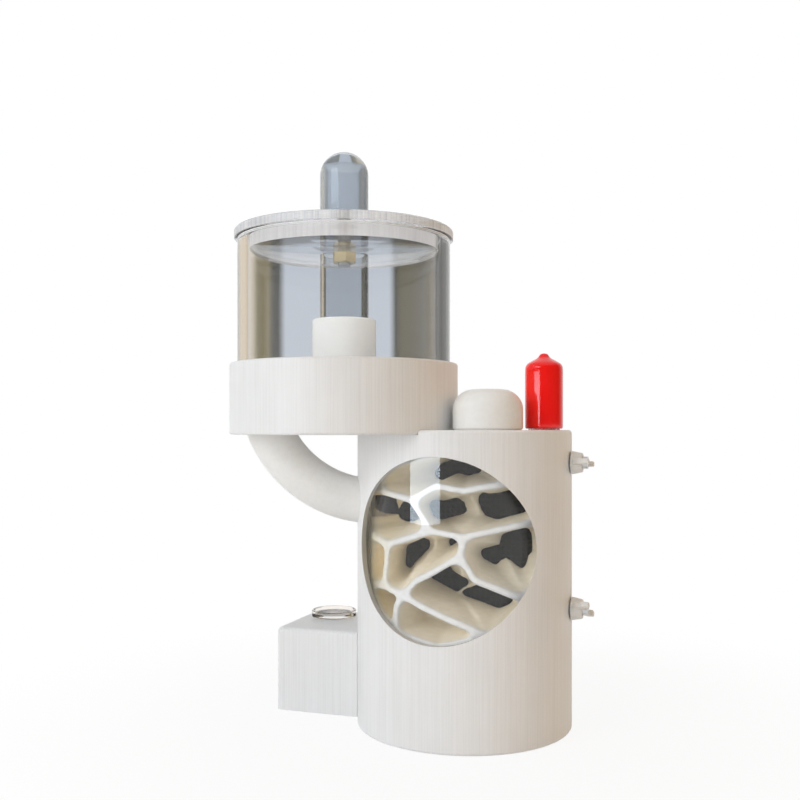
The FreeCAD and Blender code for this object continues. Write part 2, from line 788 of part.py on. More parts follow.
def port():
    at = ("port_across", "-port_forward", "0")
    top = "tower_height + port_rise"
    inside = "port_radius - port_wall"
    tube = turned("port", [(inside, NEST_TOP), ("port_radius", NEST_TOP), ("port_radius", top),
                           (inside, top)], at)
    keep(tube, "port_tube")
    low = "tower_height + cover_clearance"
    bore = "port_radius + cap_clearance"
    outside = bore + " + cap_wall"
    shoulder = low + " + cap_length"
    crown = shoulder + " + cap_rise"
    nub = crown + " + cap_nub_height"
    cap = turned("red_cap", [(bore, low), (outside, low), (outside, shoulder), ("cap_nub_radius", crown),
                             ("cap_nub_radius", nub), ("0", nub), ("0", shoulder + " - cap_crown"),
                             (bore, shoulder + " - cap_crown")], at)
    round_rings(cap, "red_cap_shoulder", "cap_round", [(outside, shoulder)])
    round_rings(cap, "red_cap_nub", "cap_nub_radius * 0.6", [("cap_nub_radius", nub)])
    keep(cap, "red_cap")


# ---- the water tank


def water_tank():
    left = "-(" + TANK_FACE + ") - tank_length"
    outside = box("tank_outside", "tank_length", "tank_depth", "tank_height", (left, "-tank_forward", "0"))
    rounded = doc.addObject("Part::Fillet", "tank_rounded")
    rounded.Base = outside
    doc.recompute()
    rounded.Edges = [(i, value("tank_round"), value("tank_round")) for i in outer_edges(outside.Shape)]
    cavity = box("tank_cavity", "tank_length - 2 * tank_wall", "tank_depth - 2 * tank_wall",
                 "tank_height - 2 * tank_wall",
                 (left + " + tank_wall", "tank_wall - tank_forward", "tank_wall"))
    port_hole = cylinder("tank_port", "tank_port_radius", "2 * tank_wall",
                         (left + " + tank_port_inset", "tank_port_back - tank_forward",
                          "tank_height - 1.5 * tank_wall"))
    saddle = box("tank_saddle", "tank_gap + shell_wall", "tank_forward - tank_round",
                 "tank_height - 2 * tank_round",
                 ("-(" + TANK_FACE + ")", "-tank_forward + tank_round / 2", "tank_round"))
    shell = cut("tank_hollow", fuse("tank_solid", rounded, saddle), cavity, port_hole,
                spout_hole("tank_spout"),
                cylinder("tank_tower", "tower_radius", "tower_height"))
    keep(shell, "water_tank")


def outer_edges(shape):
    """The edges of a box that are rounded: all but those on its underside and its right face."""
    right = shape.BoundBox.XMax
    names = []
    for i, edge in enumerate(shape.Edges, 1):
        bounds = edge.BoundBox
        if bounds.ZMax > 1e-6 and bounds.XMin < right - 1e-6:
            names.append(i)
    return names


def tank_fittings():
    left = "-(" + TANK_FACE + ") - tank_length"
    at = (left + " + tank_port_inset", "tank_port_back - tank_forward", "0")
    low = "tank_height - tank_cap_plug"
    shank = "tank_port_radius - tank_cap_clearance"
    top = "tank_height + tank_cap_height"
    plate = "tank_height + tank_cap_plate"
    rim = "tank_cap_radius - tank_cap_rim"
    inside = "tank_port_radius - tank_cap_clearance - tank_cap_rim"
    edge = "0.3 * tank_cap_rim"
    cap = turned("tank_cap", [(inside, low), (shank, low), (shank, "tank_height"),
                              ("tank_cap_radius", "tank_height"), ("tank_cap_radius", top + " - " + edge),
                              ("tank_cap_radius - " + edge, top), (rim + " + " + edge, top),
                              (rim, top + " - " + edge), (rim, plate), ("0", plate), ("0", "tank_height"),
                              (inside, "tank_height")], at)
    keep(cap, "tank_cap")
    spout_length = "tank_gap + tank_wall + shell_wall + lip_thickness"
    start = "-(" + TANK_FACE + ") - tank_wall"
    spout_at = (start, "-spout_forward", "spout_height")
    spout = cut("water_spout", cylinder("spout_outside", "spout_radius", spout_length, spout_at, along_x()),
                cylinder("spout_inside", "spout_bore", spout_length, spout_at, along_x()))
    keep(spout, "water_spout")


# ---- studs and wing nuts at the seam


def clamp_studs():
    start = INNER + " - stud_root"
    length = "stud_root + shell_wall + stud_reach"
    studs = [cylinder("stud_" + level, "stud_radius", length, (start, "0", height), along_x())
             for level, height in STUD_Z.items()]
    both = doc.addObject("Part::Compound", "clamp_studs")
    both.Links = studs
    keep(both, "clamp_studs")


def wing_nut(label, height, turn):
    """A nut turned about the stud, with two wings that flare outwards from its hub."""
    body = doc.addObject("PartDesign::Body", label + "_body")
    bore = "stud_radius + stud_clearance"
    hub_sketch = outline_sketch(body, label + "_section", "XZ_Plane",
                                [(bore, "0"), ("hub_radius", "0"), ("hub_tip_radius", "hub_height"),
                                 (bore, "hub_height")])
    hub = body.newObject("PartDesign::Revolution", label + "_hub")
    hub.Profile = hub_sketch
    hub.ReferenceAxis = (hub_sketch, ["V_Axis"])
    hub.Angle = 360
    doc.recompute()
    middle = "(" + bore + " + hub_tip_radius) / 2"
    wing_sketch = outline_sketch(body, label + "_wing", "XZ_Plane",
                                 [(middle, "wing_root"), ("hub_radius", "wing_root * 0.9"),
                                  ("wing_span", "wing_height * 0.62"), ("wing_span", "wing_height"),
                                  ("wing_span - wing_tip_width", "wing_height"),
                                  (middle, "hub_height * 0.9")])
    wing = body.newObject("PartDesign::Pad", label + "_pad")
    wing.Profile = wing_sketch
    bind(wing, "Length", "wing_thickness")
    wing.Midplane = True
    doc.recompute()
    pair = body.newObject("PartDesign::PolarPattern", label + "_pair")
    pair.Originals = [wing]
    pair.Axis = (hub_sketch, ["V_Axis"])
    pair.Angle = 360
    pair.Occurrences = 2
    body.Tip = pair
    doc.recompute()
    rotation = Rotation(Vector(1, 0, 0), turn) * along_x()
    place(body, ("tower_radius + cover_clearance", "0", height), rotation)
    return keep(body, label)


def main():
    fill_sheet()
    front_shell()
    rear_shell()
    base_plate()
    top_plate()
    window_pane()
    nest()
    backing()
    arena_tray()
    connecting_arm()
    arena_tube()
    lid()
    knob_cap()
    feeder()
    fill_plug()
    port()
    water_tank()
    tank_fittings()
    clamp_studs()
    wing_nut("wing_nut_upper", STUD_Z["upper"], value("upper_nut_turn"))
    wing_nut("wing_nut_lower", STUD_Z["lower"], value("lower_nut_turn"))
    doc.recompute()
    check()
    export()


def check():
    for item in doc.Objects:
        if "Invalid" in item.State or "Error" in item.State:
            raise RuntimeError("failed object: " + item.Name)
    for item in subparts:
        if item.Shape.isNull() or not item.Shape.isValid() or not item.Shape.Solids:
            raise RuntimeError("bad shape: " + item.Label)


def export():
    os.makedirs("parts", exist_ok=True)
    for item in subparts:
        item.Shape.exportStep("parts/%s.step" % item.Label)
        bounds = item.Shape.BoundBox
        print("%-18s %9.1f mm3  z %.2f to %.2f" % (item.Label, item.Shape.Volume, bounds.ZMin, bounds.ZMax))


main()
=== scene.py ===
# %% [markdown]
# # An ant habitat
# A printed nest tower with a curved window carries a clear feeding arena on a bent walkway tube.
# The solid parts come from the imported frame. This lesson gives them their finishes, makes the small
# moulded and threaded pieces, and lights the whole on a pale table.

import math

import bmesh
import bpy
from mathutils import Matrix, Vector


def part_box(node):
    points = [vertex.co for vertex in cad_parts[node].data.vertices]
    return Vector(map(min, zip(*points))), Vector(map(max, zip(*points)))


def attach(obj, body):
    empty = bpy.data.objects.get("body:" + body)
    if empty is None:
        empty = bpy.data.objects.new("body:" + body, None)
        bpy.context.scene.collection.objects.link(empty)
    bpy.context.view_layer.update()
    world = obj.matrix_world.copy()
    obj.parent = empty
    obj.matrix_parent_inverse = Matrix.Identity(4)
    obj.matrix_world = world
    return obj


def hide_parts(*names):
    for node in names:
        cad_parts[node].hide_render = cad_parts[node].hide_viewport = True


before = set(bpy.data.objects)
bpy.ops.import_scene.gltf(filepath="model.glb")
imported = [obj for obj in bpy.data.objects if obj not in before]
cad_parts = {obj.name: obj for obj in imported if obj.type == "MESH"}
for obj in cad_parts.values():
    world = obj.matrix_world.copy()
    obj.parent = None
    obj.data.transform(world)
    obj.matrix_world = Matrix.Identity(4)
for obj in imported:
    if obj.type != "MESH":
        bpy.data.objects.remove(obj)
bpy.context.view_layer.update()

# %% [markdown]
# Sizes are read from the frame where it has them, so a piece follows the part that carries it.
# The rest are real sizes in metres, each with a name of its own.

# %% Sizes
MM = 0.001
TOWER_LOW, TOWER_HIGH = (Vector(corner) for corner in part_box("front_shell"))
TOWER_RADIUS = -TOWER_LOW.x
TRAY_LOW, TRAY_HIGH = (Vector(corner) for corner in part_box("arena_tray"))
TRAY_CENTRE = (TRAY_LOW + TRAY_HIGH) / 2
print("tower radius %.1f mm, top %.1f mm" % (TOWER_RADIUS / MM, TOWER_HIGH.z / MM))

# %% [markdown]
# ## Helpers
# A material here is a Principled shader with a few nodes in front of it. These helpers add a node,
# join two sockets, and make the streaks that a printer leaves: noise that is fine across the wall
# and long down it, so that the same recipe gives upright streaks on every upright face.

# %% Node helpers
def new_material(name, colour, roughness):
    material = bpy.data.materials.new(name)
    material.use_nodes = True
    shader = material.node_tree.nodes["Principled BSDF"]
    shader.inputs["Base Color"].default_value = (*colour, 1)
    shader.inputs["Roughness"].default_value = roughness
    return material, material.node_tree, shader


def add(tree, kind, **settings):
    node = tree.nodes.new("ShaderNode" + kind)
    for name, setting in settings.items():
        setattr(node, name, setting)
    return node


def coordinates(tree, scale):
    place = add(tree, "TexCoord")
    mapping = add(tree, "Mapping")
    mapping.inputs["Scale"].default_value = scale
    tree.links.new(place.outputs["Object"], mapping.inputs["Vector"])
    return mapping.outputs["Vector"]


def noise(tree, scale, detail=3.0, roughness=0.55):
    texture = add(tree, "TexNoise")
    texture.inputs["Scale"].default_value = 1.0
    texture.inputs["Detail"].default_value = detail
    texture.inputs["Roughness"].default_value = roughness
    tree.links.new(coordinates(tree, scale), texture.inputs["Vector"])
    return texture.outputs["Fac"]


def ramp(tree, source, low, high, stops=(0.35, 0.65)):
    node = add(tree, "ValToRGB")
    for element, position, colour in zip(node.color_ramp.elements, stops, (low, high)):
        element.position = position
        element.color = (*colour, 1)
    tree.links.new(source, node.inputs["Fac"])
    return node.outputs["Color"]


def bump(tree, source, shader, strength, distance):
    node = add(tree, "Bump")
    node.inputs["Strength"].default_value = strength
    node.inputs["Distance"].default_value = distance
    tree.links.new(source, node.inputs["Height"])
    tree.links.new(node.outputs["Normal"], shader.inputs["Normal"])


def multiply(tree, first, second):
    node = add(tree, "Mix", data_type="RGBA", blend_type="MULTIPLY")
    node.inputs["Factor"].default_value = 1.0
    tree.links.new(first, node.inputs["A"])
    tree.links.new(second, node.inputs["B"])
    return node.outputs["Result"]


def blend(tree, factor, first, second):
    node = add(tree, "Mix", data_type="RGBA")
    tree.links.new(factor, node.inputs["Factor"])
    for socket, colour in (("A", first), ("B", second)):
        if isinstance(colour, tuple):
            node.inputs[socket].default_value = (*colour, 1)
        else:
            tree.links.new(colour, node.inputs[socket])
    return node.outputs["Result"]


def spread(tree, source, start, end, low=0.0, high=1.0):
    """Carries the range from start to end over to the range from low to high."""
    node = add(tree, "MapRange")
    for name, value in (("From Min", start), ("From Max", end), ("To Min", low), ("To Max", high)):
        node.inputs[name].default_value = value
    tree.links.new(source, node.inputs["Value"])
    return node.outputs["Result"]


def out_from(tree, centre):
    """How far a point lies from an upright axis through this centre."""
    place = add(tree, "TexCoord")
    offset = add(tree, "VectorMath", operation="SUBTRACT")
    offset.inputs[1].default_value = centre
    tree.links.new(place.outputs["Object"], offset.inputs[0])
    flat = add(tree, "VectorMath", operation="MULTIPLY")
    flat.inputs[1].default_value = (1, 1, 0)
    tree.links.new(offset.outputs["Vector"], flat.inputs[0])
    out = add(tree, "VectorMath", operation="LENGTH")
    tree.links.new(flat.outputs["Vector"], out.inputs[0])
    return out.outputs["Value"]


def along(tree, axis, start, end):
    """Rises from 0 to 1 between two places along one axis of the piece."""
    place = add(tree, "TexCoord")
    split = add(tree, "SeparateXYZ")
    tree.links.new(place.outputs["Object"], split.inputs["Vector"])
    return spread(tree, split.outputs[axis], start, end)


def dot(tree, source, direction):
    """How far a point or a ray reaches along a direction."""
    node = add(tree, "VectorMath", operation="DOT_PRODUCT")
    node.inputs[1].default_value = direction
    tree.links.new(source, node.inputs[0])
    return node.outputs["Value"]


def end_in_mix(tree, factor, first, second):
    """Ends a material in two shaders: the first where the factor is 0, the second where it is 1."""
    mix = add(tree, "MixShader")
    tree.links.new(factor, mix.inputs["Fac"])
    tree.links.new(first, mix.inputs[1])
    tree.links.new(second, mix.inputs[2])
    tree.links.new(mix.outputs["Shader"], tree.nodes["Material Output"].inputs["Surface"])


print("node helpers ready")

# %% [markdown]
# ## Printed white plastic
# The tower, tray, walkway and tank are printed in white plastic. The walls carry fine upright
# streaks, a little uneven in tone, and the surface is satin rather than glossy. A painted flat white
# would look like paper, so the streaks go into the colour faintly and into a shallow bump.

# %% Printed plastic
STREAKS = (1900.0, 1900.0, 22.0)
SMOOTH = (700.0, 700.0, 700.0)
MOULDED = (900.0, 900.0, 900.0)
GRAIN = (2600.0, 2600.0, 2600.0)
GRAIN_SHARE = 0.25


def printed_plastic(name, light, dark, streaks=STREAKS, depth=0.10 * MM):
    material, tree, shader = new_material(name, light, 0.42)
    lines = noise(tree, streaks, 2.0, 0.6)
    colour = ramp(tree, lines, dark, light, (0.28, 0.62))
    cloud = ramp(tree, noise(tree, (34.0, 34.0, 26.0)), (0.955, 0.955, 0.95), (1.0, 1.0, 1.0))
    tree.links.new(multiply(tree, colour, cloud), shader.inputs["Base Color"])
    total = add(tree, "Math", operation="MULTIPLY_ADD")
    total.inputs[1].default_value = GRAIN_SHARE
    tree.links.new(noise(tree, GRAIN, 2.0), total.inputs[0])
    tree.links.new(lines, total.inputs[2])
    bump(tree, total.outputs["Value"], shader, 0.55, depth)
    shader.inputs["Subsurface Weight"].default_value = 0.08
    shader.inputs["Subsurface Radius"].default_value = (0.9 * MM, 0.7 * MM, 0.5 * MM)
    shader.inputs["Subsurface Scale"].default_value = 1.0
    return material


WHITE_LIGHT = (0.88, 0.878, 0.875)
WHITE_DARK = (0.82, 0.816, 0.81)
white_print = printed_plastic("white_print", WHITE_LIGHT, WHITE_DARK)
smooth_white = printed_plastic("smooth_white", (0.88, 0.872, 0.85), (0.85, 0.84, 0.81),
                               SMOOTH, 0.03 * MM)
# The feeder socket stands behind the arena's wall, which holds back light, so it gets a brighter copy
# of the smooth white: painted light.
socket_white_painted_light = printed_plastic("socket_white_painted_light", (0.98, 0.975, 0.965), (0.95, 0.94, 0.925),
                               SMOOTH, 0.03 * MM)
nylon = printed_plastic("white_nylon", (0.84, 0.83, 0.8), (0.79, 0.78, 0.74), MOULDED, 0.02 * MM)
print("printed plastics:", white_print.name, smooth_white.name, socket_white_painted_light.name, nylon.name)

# %% [markdown]
# ## The nest's plastic
# The nest is the same plastic, but light that reaches the depth of a chamber has bounced off many
# walls and comes back warm; that light is painted into the colour. The ribs' curved fronts are white
# and the walls behind them cream, a painted bounce light carried by a ramp on the distance from the
# tower's axis. A second ramp paints warm amber shade over the far left.

# %% Nest plastic
NEST_FRONT = (0.90, 0.905, 0.91)
NEST_WALL = (0.99, 0.92, 0.78)
# Painted warm shade: the far left chambers are tinted amber.
NEST_PAINTED_AMBER_SHADE = (1.0, 0.92, 0.70)
NEST_RADIUS = -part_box("nest_block")[0][1]
# The ribs turn from cream to white over this stretch below the nest's curved front.
RIB_FADE_START = 2.1 * MM
RIB_FADE_END = 0.9 * MM
PAINTED_AMBER_START = -0.028
PAINTED_AMBER_END = -0.013


def nest_plastic():
    material, tree, shader = new_material("nest_print", NEST_FRONT, 0.5)
    front = spread(tree, out_from(tree, (0, 0, 0)),
                   NEST_RADIUS - RIB_FADE_START, NEST_RADIUS - RIB_FADE_END)
    tone = ramp(tree, front, NEST_WALL, NEST_FRONT, (0.0, 1.0))
    # Painted warm shade: amber over the far left, fading out along X.
    side = ramp(tree, along(tree, "X", PAINTED_AMBER_START, PAINTED_AMBER_END), NEST_PAINTED_AMBER_SHADE, (1.0, 1.0, 1.0),
                (0.2, 1.0))
    grain = ramp(tree, noise(tree, (420.0, 420.0, 900.0), 4.0), (0.93, 0.92, 0.90), (1.0, 1.0, 1.0))
    tree.links.new(multiply(tree, multiply(tree, tone, side), grain), shader.inputs["Base Color"])
    bump(tree, noise(tree, (300.0, 300.0, 2200.0), 2.0), shader, 0.5, 0.08 * MM)
    return material


nest_print = nest_plastic()
print("nest plastic: front %.1f mm from the axis" % (NEST_RADIUS / MM))

# %% [markdown]
# ## Clear plastics
# The arena's wall, the lid, the feeder tube and the pane are clear acrylic; the knob, the tank's cap
# and the port are softer and a little milky. All are refracting shaders. A trace of roughness and
# the odd rub mark keep them from looking like cut crystal. Where the acrylic was sawn, at the tube's
# top edge and the rims of both discs, it is frosted and carries the saw's upright marks.

# %% Clear plastics
LAMP_SHARE = 0.99
POLISHED = 0.02
SAWN = 0.3
EDGE_FADE_START = 0.5 * MM
EDGE_FADE_END = 0.3 * MM
RIM_FADE_START = 0.45 * MM
RIM_FADE_END = 0.1 * MM
KNOB_CLEARNESS = 0.82


def clear_plastic(name, colour, roughness, ior, rub=0.05):
    material, tree, shader = new_material(name, colour, roughness)
    shader.inputs["Transmission Weight"].default_value = 1.0
    shader.inputs["IOR"].default_value = ior
    marks = spread(tree, noise(tree, (160.0, 160.0, 70.0), 5.0), 0.55, 0.8,
                   roughness, roughness + rub)
    tree.links.new(marks, shader.inputs["Roughness"])
    bump(tree, noise(tree, (60.0, 60.0, 25.0), 1.0), shader, 0.06, 0.3 * MM)
    let_lamps_through(tree, shader)
    return material


def let_lamps_through(tree, shader):
    """Bent light is slow to trace, so the lamps light what is inside straight through the glass."""
    path = add(tree, "LightPath")
    clear = add(tree, "BsdfTransparent")
    clear.inputs["Color"].default_value = (LAMP_SHARE, LAMP_SHARE, LAMP_SHARE, 1)
    end_in_mix(tree, path.outputs["Is Shadow Ray"], shader.outputs["BSDF"], clear.outputs["BSDF"])


def frost(material, cut, dark, light, clearness):
    """Where cut is 1, a clear piece turns satin and whitish, with the saw's upright marks in it."""
    tree = material.node_tree
    shader = tree.nodes["Principled BSDF"]
    clear = tuple(shader.inputs["Base Color"].default_value)[:3]
    saw_marks = ramp(tree, noise(tree, (900.0, 900.0, 12.0), 3.0, 0.7), dark, light, (0.34, 0.62))
    tree.links.new(blend(tree, cut, clear, saw_marks), shader.inputs["Base Color"])
    tree.links.new(spread(tree, cut, 0.0, 1.0, POLISHED, SAWN), shader.inputs["Roughness"])
    clear_share = spread(tree, cut, 0.0, 1.0, 1.0, clearness)
    tree.links.new(clear_share, shader.inputs["Transmission Weight"])


def half_width(node):
    low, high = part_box(node)
    return (high[0] - low[0]) / 2


def cut_acrylic(name, node, dark, light, clearness):
    """A disc sawn from sheet: clear on its flat faces, frosted on its sawn rim."""
    material = clear_plastic(name, (0.96, 0.965, 0.965), 0.02, 1.16)
    tree = material.node_tree
    radius = half_width(node)
    rim = spread(tree, out_from(tree, TRAY_CENTRE), radius - RIM_FADE_START, radius - RIM_FADE_END)
    frost(material, rim, dark, light, clearness)
    return material


acrylic = clear_plastic("arena_acrylic", (0.97, 0.975, 0.97), 0.012, 1.49)
tube_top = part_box("arena_tube")[1][2]
tube_edge = along(acrylic.node_tree, "Z", tube_top - EDGE_FADE_START, tube_top - EDGE_FADE_END)
frost(acrylic, tube_edge, (0.90, 0.90, 0.90), (1.0, 1.0, 1.0), 0.3)
lid_acrylic = cut_acrylic("lid_acrylic", "lid_disc", (0.72, 0.74, 0.78), (1.0, 1.0, 1.0), 0.38)
disc_acrylic = cut_acrylic("disc_acrylic", "lid_plug", (0.86, 0.84, 0.85), (1.0, 0.98, 0.98), 0.45)
feeder_acrylic = clear_plastic("feeder_acrylic", (0.80, 0.815, 0.83), 0.02, 1.2)
pane_acrylic = clear_plastic("pane_acrylic", (0.985, 0.985, 0.98), 0.01, 1.38, 0.03)
vinyl = clear_plastic("soft_vinyl", (0.86, 0.88, 0.90), 0.13, 1.42, 0.12)
cap_vinyl = clear_plastic("cap_vinyl", (0.95, 0.91, 0.86), 0.08, 1.24, 0.06)
knob_vinyl = clear_plastic("knob_vinyl", (0.70, 0.75, 0.80), 0.07, 1.38, 0.06)
knob_shader = knob_vinyl.node_tree.nodes["Principled BSDF"]
knob_shader.inputs["Transmission Weight"].default_value = KNOB_CLEARNESS
print("clear plastics:", [material.name for material in (
    acrylic, lid_acrylic, disc_acrylic, feeder_acrylic, pane_acrylic, vinyl, cap_vinyl, knob_vinyl)])

# %% [markdown]
# ## Red vinyl, metal, mesh and sponge
# The port's cap is dipped vinyl: a strong red under a wet-looking skin, so it gets a clear coat. The
# lid's nut is turned brass and its bolt plain steel. The mesh behind the nest is two crossed bands of
# fine wire, and the sponge is dark open foam.

# %% Other finishes
def red_vinyl():
    material, tree, shader = new_material("red_vinyl", (0.97, 0.010, 0.008), 0.14)
    shader.inputs["Specular IOR Level"].default_value = 0.4
    shader.inputs["Coat Weight"].default_value = 0.3
    shader.inputs["Coat Roughness"].default_value = 0.08
    dip = ramp(tree, noise(tree, (90.0, 90.0, 60.0)), (0.95, 0.006, 0.004), (1.0, 0.012, 0.009))
    tree.links.new(dip, shader.inputs["Base Color"])
    bump(tree, noise(tree, (260.0, 260.0, 120.0), 1.0), shader, 0.12, 0.15 * MM)
    return material


def turned_metal(name, light, dark, roughness, metallic):
    material, tree, shader = new_material(name, light, roughness)
    shader.inputs["Metallic"].default_value = metallic
    turning = ramp(tree, noise(tree, (900.0, 900.0, 6000.0)), dark, light)
    tree.links.new(turning, shader.inputs["Base Color"])
    bump(tree, noise(tree, (500.0, 500.0, 9000.0), 2.0), shader, 0.2, 0.02 * MM)
    return material


def woven_mesh():
    material, tree, shader = new_material("dark_mesh", (0.02, 0.02, 0.02), 0.6)
    shader.inputs["Specular IOR Level"].default_value = 0.2
    waves = []
    for axis in "XZ":
        wave = add(tree, "TexWave", bands_direction=axis)
        wave.inputs["Scale"].default_value = 1.0
        wave.inputs["Distortion"].default_value = 0.6
        tree.links.new(coordinates(tree, (190.0, 190.0, 190.0)), wave.inputs["Vector"])
        waves.append(wave.outputs["Fac"])
    top = add(tree, "Math", operation="MAXIMUM")
    tree.links.new(waves[0], top.inputs[0])
    tree.links.new(waves[1], top.inputs[1])
    wires = ramp(tree, top.outputs["Value"], (0.002, 0.002, 0.002), (0.019, 0.019, 0.017),
                 (0.45, 0.95))
    tree.links.new(wires, shader.inputs["Base Color"])
    bump(tree, top.outputs["Value"], shader, 0.8, 0.2 * MM)
    return material


def foam():
    material, tree, shader = new_material("sponge", (0.06, 0.06, 0.055), 0.9)
    cells = add(tree, "TexVoronoi")
    cells.inputs["Scale"].default_value = 900.0
    tree.links.new(coordinates(tree, (1.0, 1.0, 1.0)), cells.inputs["Vector"])
    tone = ramp(tree, cells.outputs["Distance"], (0.02, 0.02, 0.02), (0.10, 0.10, 0.09), (0.1, 0.6))
    tree.links.new(tone, shader.inputs["Base Color"])
    bump(tree, cells.outputs["Distance"], shader, 0.9, 0.5 * MM)
    return material


red = red_vinyl()
brass = turned_metal("brass", (1.0, 0.86, 0.58), (0.88, 0.68, 0.38), 0.2, 0.45)
steel = turned_metal("steel", (0.72, 0.72, 0.72), (0.55, 0.55, 0.55), 0.3, 0.8)
mesh_finish = woven_mesh()
sponge_finish = foam()
print("other finishes:", red.name, brass.name, steel.name, mesh_finish.name, sponge_finish.name)

# %% [markdown]
# Each carried-over part takes its finish.

# %% Dress the frame's parts
FINISHES = [
    (white_print, ["front_shell", "rear_shell", "base_plate", "top_plate", "arena_tray", "water_tank"]),
    (smooth_white, ["connecting_arm", "knob_collar", "fill_plug"]),
    # The socket's brighter white is painted light.
    (socket_white_painted_light, ["feeder_socket"]),
    (acrylic, ["arena_tube"]),
    (lid_acrylic, ["lid_disc"]),
    (disc_acrylic, ["lid_plug"]),
    (feeder_acrylic, ["feeder_tube"]),
    (pane_acrylic, ["window_pane"]),
    (knob_vinyl, ["knob_cap"]),
    (cap_vinyl, ["tank_cap"]),
    (vinyl, ["port_tube", "water_spout"]),
    (red, ["red_cap"]),
    (steel, ["lid_bolt", "clamp_studs"]),
    (brass, ["lid_nut"]),
    (mesh_finish, ["mesh_panel"]),
    (sponge_finish, ["humidity_sponge"]),
    (nylon, ["wing_nut_upper", "wing_nut_lower"]),
]


def dress(piece, material):
    piece.data.materials.clear()
    piece.data.materials.append(material)


for material, nodes in FINISHES:
    for node in nodes:
        dress(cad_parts[node], material)
print("dressed", sum(len(nodes) for _, nodes in FINISHES), "parts")

# %% [markdown]
# ## The nest's organic ribs
# The real ribs have no crisp edges: walls flow into each other like the tunnels of a natural nest.
# The frame holds the nest in three tiers. One copy of all three is rebuilt from small cubes and then
# relaxed, which melts every corner and leaves the plan of the chambers as it is.

# %% Melt the nest's corners
NEST_CUBE = 0.62 * MM
NEST_ROUNDS = 5
SAME_POINT = 1e-6
ON_SEAM = 2e-6
SEAM_SLIVER = 4e-5


def piece_from(mesh_maker, name, material, body):
    mesh = bpy.data.meshes.new(name)
    work = bmesh.new()
    mesh_maker(work)
    bmesh.ops.remove_doubles(work, verts=work.verts, dist=SAME_POINT)
    bmesh.ops.recalc_face_normals(work, faces=work.faces)
    work.to_mesh(mesh)
    work.free()
    piece = bpy.data.objects.new(name, mesh)
    bpy.context.scene.collection.objects.link(piece)
    dress(piece, material)
    for polygon in mesh.polygons:
        polygon.use_smooth = True
    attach(piece, body)
    return piece


def apply_modifiers(piece):
    graph = bpy.context.evaluated_depsgraph_get()
    finished = bpy.data.meshes.new_from_object(piece.evaluated_get(graph))
    piece.modifiers.clear()
    piece.data = finished
    for polygon in finished.polygons:
        polygon.use_smooth = True


TIERS = ["nest_lower", "nest_block", "nest_upper"]


def join_tiers(work):
    """Merge the tiers' meshes and drop the flat faces where one tier rests on the next."""
    for node in TIERS:
        work.from_mesh(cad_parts[node].data)
    bmesh.ops.remove_doubles(work, verts=work.verts, dist=SAME_POINT)
    seams = [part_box(node)[0][2] for node in TIERS[1:]]
    flat = [face for face in work.faces
            if any(all(abs(vert.co.z - seam) < ON_SEAM for vert in face.verts) for seam in seams)]
    bmesh.ops.delete(work, geom=flat, context="FACES")
    bmesh.ops.remove_doubles(work, verts=work.verts, dist=SEAM_SLIVER)


def keep_inside(piece, nodes):
    """Hold a relaxed copy within the box of the parts that it stands for."""
    corners = [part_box(node) for node in nodes]
    low = [min(box[0][i] for box in corners) for i in range(3)]
    high = [max(box[1][i] for box in corners) for i in range(3)]
    for vertex in piece.data.vertices:
        vertex.co = Vector(min(max(vertex.co[i], low[i]), high[i]) for i in range(3))


def melt(piece, nodes, cube, rounds):
    """Rebuild a copy of some nodes from small cubes, relax it, and hold it within their box."""
    remesh = piece.modifiers.new("cubes", "REMESH")
    remesh.mode = "VOXEL"
    remesh.voxel_size = cube
    relax = piece.modifiers.new("relax", "SMOOTH")
    relax.factor = 0.5
    relax.iterations = rounds
    apply_modifiers(piece)
    keep_inside(piece, nodes)


nest_ribs = piece_from(join_tiers, "nest_ribs", nest_print, "stand")
melt(nest_ribs, TIERS, NEST_CUBE, NEST_ROUNDS)
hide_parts(*TIERS)
print("nest:", len(nest_ribs.data.polygons), "faces")

# %% [markdown]
# ## Soft edges on the small mouldings
# The wing nuts are moulded nylon and the red cap is dipped vinyl, so neither has a crisp edge
# anywhere. The same melting does for them, with finer cubes. The lid's sheet and the white ring on it
# are copied as well, and their undersides lifted by a hair: where two pieces share a face exactly, a
# ray through clear plastic slips past one of the two, and the joint turns dark.

# %% Small mouldings
NUT_CUBE = 0.22 * MM
NUT_ROUNDS = 6
CAP_CUBE = 0.3 * MM
CAP_ROUNDS = 36
LIFT = 0.06 * MM
UNDERSIDE = 0.001 * MM
SHARP_ANGLE = math.radians(35)


def copy_of(node):
    return lambda work: work.from_mesh(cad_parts[node].data)


def moulding(node, material, body, cube, rounds):
    piece = piece_from(copy_of(node), node + "_soft", material, body)
    melt(piece, [node], cube, rounds)
    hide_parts(node)
    return piece


soft_pieces = [
    moulding("wing_nut_upper", nylon, "nut_upper", NUT_CUBE, NUT_ROUNDS),
    moulding("wing_nut_lower", nylon, "nut_lower", NUT_CUBE, NUT_ROUNDS),
    moulding("red_cap", red, "port_cap", CAP_CUBE, CAP_ROUNDS)]


def lifted(node, name, material):
    """A copy whose underside is lifted a hair, so that it shares no face with what it rests on."""
    def build(work):
        copy_of(node)(work)
        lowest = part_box(node)[0][2]
        under = [vert for vert in work.verts if vert.co.z < lowest + UNDERSIDE]
        bmesh.ops.translate(work, verts=under, vec=(0, 0, LIFT))

    piece = piece_from(build, name, material, "lid")
    piece.data.set_sharp_from_angle(angle=SHARP_ANGLE)
    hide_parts(node)


lifted("lid_disc", "lid_sheet", lid_acrylic)
lifted("knob_collar", "lid_ring", smooth_white)
print("soft pieces:", [len(piece.data.polygons) for piece in soft_pieces], "faces")

# %% [markdown]
# ## Threads
# A stud's thread is a ridge that climbs one pitch with each turn. Spinning a small notch of the
# thread's profile about the axis, with a step along it, makes exactly that. The ridge sits on the
# frame's plain shank, which stays as the core.

